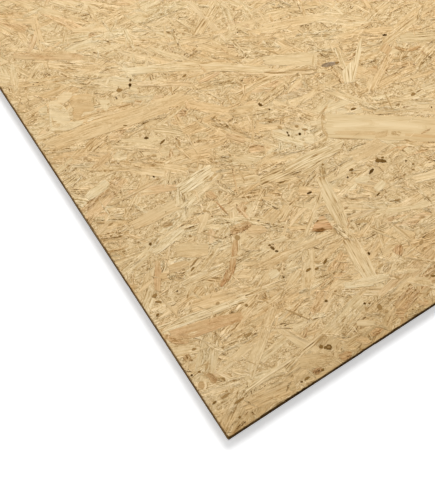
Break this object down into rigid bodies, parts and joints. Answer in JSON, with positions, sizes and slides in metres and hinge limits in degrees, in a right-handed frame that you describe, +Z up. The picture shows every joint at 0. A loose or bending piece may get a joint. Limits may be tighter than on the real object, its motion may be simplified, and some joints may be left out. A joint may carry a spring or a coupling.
{
  "type": "osb panel",
  "caption": "Flat rectangular sheet of pressed wood strands with square sawn edges, for floor, wall and roof decking.",
  "frame": {"origin": "centre of the underside, on the surface the sheet lies on", "axes": "+X along the sheet's length, the way the strands of both faces run; +Y across its width; +Z up, out of the top face"},
  "size_m": [2.44, 1.22, 0.018],
  "materials": {
    "strand_board": "matte"
  },
  "bodies": {
    "root": {"osb_sheet": "strand_board"}
  },
  "joints": []
}
